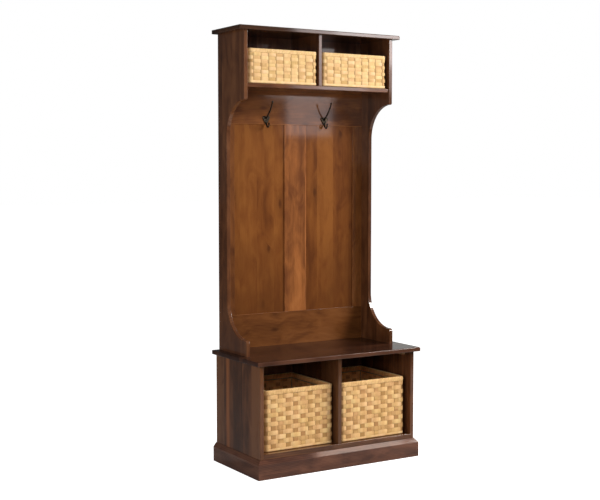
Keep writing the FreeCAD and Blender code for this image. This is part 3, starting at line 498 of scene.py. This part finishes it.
def plait_finish(name, stake_shade, weaver_seam_shade, passing_shade, dark, mid, light, seam_shade_colour):
    """Cane by strip: each strip has a chance tone, drifting along its run, with fine fibres
    along it and edges darkened as painted shade, where strips lie against each other. The
    strip's number is the whole part of V, U runs along it. Stakes and the bottom are darkened
    by their own share as painted shade, as they lie deeper, and slow noise turns the hue from
    pink to yellow. The mesh marks the faces turned to the inside, which are painted darker and
    browner as shade inside the basket, and where a weaver passes between two stakes, which is
    darkened by its own share as painted shade."""
    level, sheen, base_share = 0.2, 0.05, -0.02
    chance_share, drift_share, fibre_share, fold_share = 0.13, 0.7, 0.26, 0.16
    # Painted shade: how far the strips' edges darken on stakes and on hidden faces, and the
    # darker, browner colour of the inward faces.
    stake_seam_shade, hidden_seam_shade, inner_shade_hue = 0.85, 0.12, (0.94, 0.72, 0.58, 1)
    pink, yellow = (1.0, 0.95, 0.97), (0.99, 1.0, 0.91)
    made, tree, shader = finish(name, {"Specular IOR Level": level, "Sheen Weight": sheen})
    apart = tree.nodes.new("ShaderNodeSeparateXYZ")
    tree.links.new(put(tree, "UVMap", uv_map="strip"), apart.inputs[0])
    run, number = apart.outputs[0], apart.outputs[1]
    whole = calc(tree, "FLOOR", number)
    chance = put(tree, "TexWhiteNoise", {"W": whole}, noise_dimensions="1D")

    def noise(along, strip, across, detail):
        """Noise over the run and the strip, each stretched by its own factor."""
        return put(tree, "TexNoise", {"Scale": 1, "Detail": detail, "Vector": put(
            tree, "CombineXYZ", {0: calc(tree, "MULTIPLY", run, along),
                                 1: calc(tree, "MULTIPLY", strip, across)})},
            noise_dimensions="2D")

    fibres = noise(45, number, 21, 3)
    share = base_share
    # Stakes and the bottom take painted shade by their own share, as they lie deeper; the border
    # turns take it back.
    for source, weight in (
            (noise(26, whole, 3.7, 2), drift_share), (chance, chance_share),
            (fibres, fibre_share),
            (calc(tree, "GREATER_THAN", whole, first_stake - 10), -stake_shade),
            (calc(tree, "GREATER_THAN", whole, first_turn - 50), stake_shade),
            (calc(tree, "COMPARE", whole, fold_number, 0.6), fold_share)):
        share = calc(tree, "MULTIPLY_ADD", source, weight, share)
    colour = ramp(tree, share, [(0.26, dark), (0.5, mid), (0.74, light)])
    within = calc(tree, "SUBTRACT", calc(tree, "FRACT", number), 0.5)
    stake = calc(tree, "COMPARE", whole, first_stake + 20, 30)
    inner = put(tree, "Attribute", out="Fac", attribute_name="inner")
    wound = calc(tree, "GREATER_THAN", whole, first_turn - 5)
    seam_shade_share = remap(tree, calc(tree, "MAXIMUM", inner, wound), 0.0, 1.0,
                       remap(tree, stake, 0.0, 1.0, weaver_seam_shade, stake_seam_shade), hidden_seam_shade)
    # Painted shade along the strips' edges, where they lie against their neighbours.
    rim = remap(tree, calc(tree, "ABSOLUTE", within), 0.36, 0.47, 0.0, seam_shade_share)
    colour = mixed(tree, rim, colour, (*seam_shade_colour, 1))
    between = put(tree, "Attribute", out="Fac", attribute_name="between")
    # Painted shade where a weaver passes between two stakes.
    colour = mixed(tree, calc(tree, "MULTIPLY", between, passing_shade), colour, (*seam_shade_colour, 1))
    turned = ramp(tree, noise(12, whole, 0.9, 1), [(0.34, pink), (0.66, yellow)])
    colour = mixed(tree, 1.0, colour, turned, "MULTIPLY")
    # Painted shade: the inward faces are darker and browner, as the inside of the basket lies in
    # shade.
    colour = mixed(tree, inner, colour, inner_shade_hue, "MULTIPLY")
    tree.links.new(colour, shader.inputs["Base Color"])
    tree.links.new(remap(tree, fibres, 0.3, 0.7, 0.75, 0.6), shader.inputs["Roughness"])
    tree.links.new(put(tree, "Bump", {"Strength": 0.5, "Distance": 0.0005, "Height": fibres}),
                   shader.inputs["Normal"])
    return made


def strip_ring(half, thick, crown):
    """Across and out of six points round a flat strip whose outer face is a little crowned,
    and the share of each of them across the strip, for its UV."""
    across = np.array([-1, -0.5, 0.5, 1, 1, -1]) * half
    out = np.array([0.2, 0.5, 0.5, 0.2, -0.5, -0.5]) * thick
    return across, out + np.array([0, crown, crown, 0, 0, 0]), 0.47 * across / across.max()


def weave(name, rows, across_stakes, deep_stakes, stake_half, swing, stake_swing, square,
          pinch, lean, wall, corner_bend, seed):
    """The plaited walls and bottom of one basket, in the box of its CAD body.
    A strip's distance from the middle of the wall swings as a flattened cosine of its phase,
    the hyperbolic tangent of square times the cosine. The phase grows by one half turn from
    stake to stake, and each row starts half a turn on."""
    low, high = (np.array(corner) * 1000 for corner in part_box(name + "_body"))
    centre, (half_w, half_d, _) = (low + high) / 2, (high - low) / 2
    into_rim, band, thick, steps = 2, 13.0, 1.2, 12
    weaver_crown, stake_crown, weaver_share = 0.25, 0.1, 0.52
    wander_size, wander_turns, passing_width = 0.2, (2, 5, 9), 0.07
    height = high[2] - low[2] + into_rim
    half_w, half_d, bend = half_w - wall / 2, half_d - wall / 2, corner_bend - wall / 2
    corners = corner_runs(half_w, half_d, bend)
    counts = [across_stakes, deep_stakes, across_stakes, deep_stakes]
    stakes = np.concatenate([np.linspace(start, end, count, endpoint=False)
                             for start, end, count in zip(corners, corners[1:], counts)])
    whole = corners[-1] - corners[0]
    rng = np.random.default_rng(seed)
    pitch = (height - band) / rows
    cane = Plait()

    def place(run, out, z):
        """A point of the wall by its run, its distance out from the wall's middle and height."""
        spot, outward = outline(run, half_w, half_d, bend)
        inward = lean * z / height
        flat = spot + outward * (out - inward)[..., None] + centre[:2]
        return np.concatenate([flat, (z + low[2])[..., None]], -1) / 1000

    def swung(phase):
        """The flattened cosine of a phase, from -1 to 1."""
        return np.tanh(square * np.cos(math.pi * phase)) / math.tanh(square)

    runs = np.concatenate([np.linspace(a, b, steps, endpoint=False)
                           for a, b in zip(stakes, [*stakes[1:], corners[-1]])])
    phase = np.arange(len(runs)) / steps
    across, out, part = strip_ring(pitch * weaver_share, thick, weaver_crown)
    row = np.arange(rows)[:, None, None]
    wander = sum(rng.normal(0, wander_size, (rows, 1)) * np.sin(
        2 * math.pi * turns * runs / whole + rng.uniform(0, 6.28, (rows, 1)))
        for turns in wander_turns)[..., None]
    dive = np.abs(np.cos(math.pi * phase))[None, :, None] ** 0.5
    z = band + (row + 0.5) * pitch + across * (1 - pinch + pinch * dive) + wander
    z = np.clip(z, band * 0.6, height + 1)
    swings = swing * swung(phase[None, :, None] + row)
    run = np.broadcast_to(runs[None, :, None], z.shape)
    uv = np.stack([run / 1000, row + 0.5 + part + 0 * run], -1)
    middle = np.exp(-((np.mod(phase, 1) - 0.5) / passing_width) ** 2)[None, :, None]
    cane.add(place(run, swings + out, z), uv, True, whole / 1000, between=middle)

    fold_z = np.array([band, band * 0.5, 3.6, 1.4, 0.7, 2.4, 4.6, band])
    fold_out = np.array([2.6, 2.85, 2.5, 1.0, -0.8, -0.6, 1.3, 1.4])
    run = np.broadcast_to(runs[None, :, None], (1, len(runs), len(fold_z)))
    ripple_size = 0.25
    ripple = ripple_size * np.cos(2 * math.pi * phase)[None, :, None]
    uv = np.stack([run / 1000, fold_number + 0.5 + 0.04 * (fold_z - band / 2) + 0 * run], -1)
    cane.add(place(run, fold_out - ripple_size + ripple, fold_z + 0 * run), uv, True,
             whole / 1000, inner=(5, 7))

    across, out, part = strip_ring(stake_half, thick, stake_crown)
    heights = np.linspace(3, height + 3, 7 * rows)
    stake = np.arange(len(stakes))[:, None, None]
    narrower = np.where(np.isin(stakes, corners), 0.8, 1)[:, None, None]
    run = stakes[:, None, None] + across * narrower + 0 * heights[None, :, None]
    z = heights[None, :, None] + 0 * run
    swings = -stake_swing * np.cos(math.pi * (stake + (z - band) / pitch - 0.5))
    uv = np.stack([z / 1000, first_stake + 0.5 + stake + part + 0 * run], -1)
    cane.add(place(run, swings + out, z)[:, ::-1], uv[:, ::-1], False)

    edge_room, lane_share, bottom_height, bottom_swing = 2.5, 0.48, 3.2, 0.75
    for axis, half, other, count, first in (
            (0, half_w, half_d, deep_stakes, first_bottom),
            (1, half_d, half_w, across_stakes, second_bottom)):
        lane = (2 * other - 3) / count
        across, out, part = strip_ring(lane * lane_share, thick, stake_crown)
        lanes = (np.arange(count) - (count - 1) / 2)[:, None, None] * lane
        number = np.arange(count)[:, None, None]
        cross = deep_stakes if axis else across_stakes
        side = lanes + across * (1 if axis == 0 else -1)
        past = np.clip(np.abs(side) - (other - bend), 0, bend)
        reach = half - edge_room - bend + np.sqrt(bend ** 2 - past ** 2)
        along = np.linspace(-1, 1, cross * 6 + 1)[None, :, None] * reach
        beat = (along + half) / (2 * half) * cross - 0.5
        flip = 1 if axis else -1
        z = bottom_height + flip * bottom_swing * np.cos(math.pi * (beat + number)) + out
        spots = [along, side + 0 * along, z]
        if axis:
            spots[0], spots[1] = spots[1], spots[0]
        grid = (np.stack(spots, -1) + [centre[0], centre[1], low[2]]) / 1000
        uv = np.stack([along / 1000, first + 0.5 + number + part + 0 * along], -1)
        cane.add(grid, uv, False, inner=(1, 2))
    return cane.mesh(name + "_weave"), len(stakes)


def border(name, wraps, corner_bend):
    """The rim's winding: a flat strip wound as a screw line round a rounded bar.
    The bar's section is a squared circle. Each turn swells between its two edges as one minus
    a high power of its share, so that the edges read as grooves."""
    low, high = (np.array(corner) * 1000 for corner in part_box(name + "_rim"))
    centre, (half_w, half_d, half_h) = (low + high) / 2, (high - low) / 2
    half_bar, swell, groove, square = 6.9, 0.5, 7, 0.52
    girth, strip_step, tone_step = 0.072, 0.999, 0.37
    half_w, half_d, bend = half_w - half_bar, half_d - half_bar, corner_bend - half_bar
    corners = corner_runs(half_w, half_d, bend)
    whole = corners[-1] - corners[0]
    shares = np.array([0, 0.03, 0.09, 0.2, 0.35, 0.5, 0.65, 0.8, 0.91, 0.97])
    turn = np.arange(wraps)[:, None] + shares
    angle = np.linspace(0, 2 * math.pi, 20, endpoint=False)
    phase = turn.reshape(-1)[:, None] + angle / (2 * math.pi)
    run = phase * whole / wraps
    swollen = np.tile(1 - np.abs(2 * shares - 1) ** groove, wraps)[:, None] * swell - swell
    c, s = np.cos(angle), np.sin(angle)
    out = np.sign(c) * np.abs(c) ** square * (half_bar + swollen)
    z = np.sign(s) * np.abs(s) ** square * (half_h + swollen)
    spot, outward = outline(run, half_w, half_d, bend)
    flat = spot + outward * out[..., None] + centre[:2]
    points = np.concatenate([flat, (z + centre[2])[..., None]], -1)[None] / 1000
    around = np.append(angle, 2 * math.pi) / (2 * math.pi) * girth
    number = turn.reshape(-1)[:, None] * strip_step + first_turn
    uv = np.stack([around + number * tone_step, number + 0 * around], -1)[None]
    cane = Plait()
    cane.add(points, uv, True, wraps * strip_step, twist=len(shares), inner=(8, 14))
    return cane.mesh(name + "_border")


basket_lean, basket_wall, basket_bend = 1.5, 6.0, 18.0
# Each level's tones also hold its painted shade: on the stakes, along the strips' edges and
# where weavers pass between stakes.
for level, first_seed, rows, across_stakes, deep_stakes, weaving, tones in (
        ("lower", 10, 12, 9, 9,
         dict(stake_half=12.0, swing=2.0, stake_swing=0.2, square=1.4, pinch=0.02),
         dict(stake_shade=0.22, weaver_seam_shade=0.25, passing_shade=0.0, dark=(0.46, 0.252, 0.094),
              mid=(0.76, 0.470, 0.203), light=(0.88, 0.61, 0.300), seam_shade_colour=(0.34, 0.165, 0.055))),
        ("upper", 20, 8, 9, 5,
         dict(stake_half=19.0, swing=1.8, stake_swing=0.6, square=4.0, pinch=0.02),
         dict(stake_shade=0.08, weaver_seam_shade=0.14, passing_shade=0.5, dark=(0.56, 0.335, 0.13),
              mid=(0.79, 0.53, 0.25), light=(0.87, 0.63, 0.345), seam_shade_colour=(0.30, 0.155, 0.05)))):
    cane_finish = plait_finish(level + "_cane", **tones)
    for seed, side in enumerate(("left", "right"), start=first_seed):
        body = level + "_basket_" + side
        woven, stake_count = weave(
            body, rows, across_stakes, deep_stakes, lean=basket_lean, wall=basket_wall,
            corner_bend=basket_bend, seed=seed, **weaving)
        wound = border(body, stake_count, basket_bend)
        for mesh, stands_for in ((woven, "_body"), (wound, "_rim")):
            mesh.materials.append(cane_finish)
            piece = bpy.data.objects.new(mesh.name, mesh)
            scene.collection.objects.link(piece)
            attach(piece, body)
            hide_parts(body + stands_for)

# Basket frames: round wire, welded into two hoops and four posts inside the plaited
# walls and coated in the brown of the cane.
coat_dark, coat_light = (0.26, 0.15, 0.065), (0.36, 0.22, 0.10)
wire = metal("coated_wire", coat_dark, coat_light, 0.5, 0.65, 0.01, bare=0.0)
for body in ("lower_basket_left", "lower_basket_right", "upper_basket_left",
             "upper_basket_right"):
    dress(body + "_frame", wire)
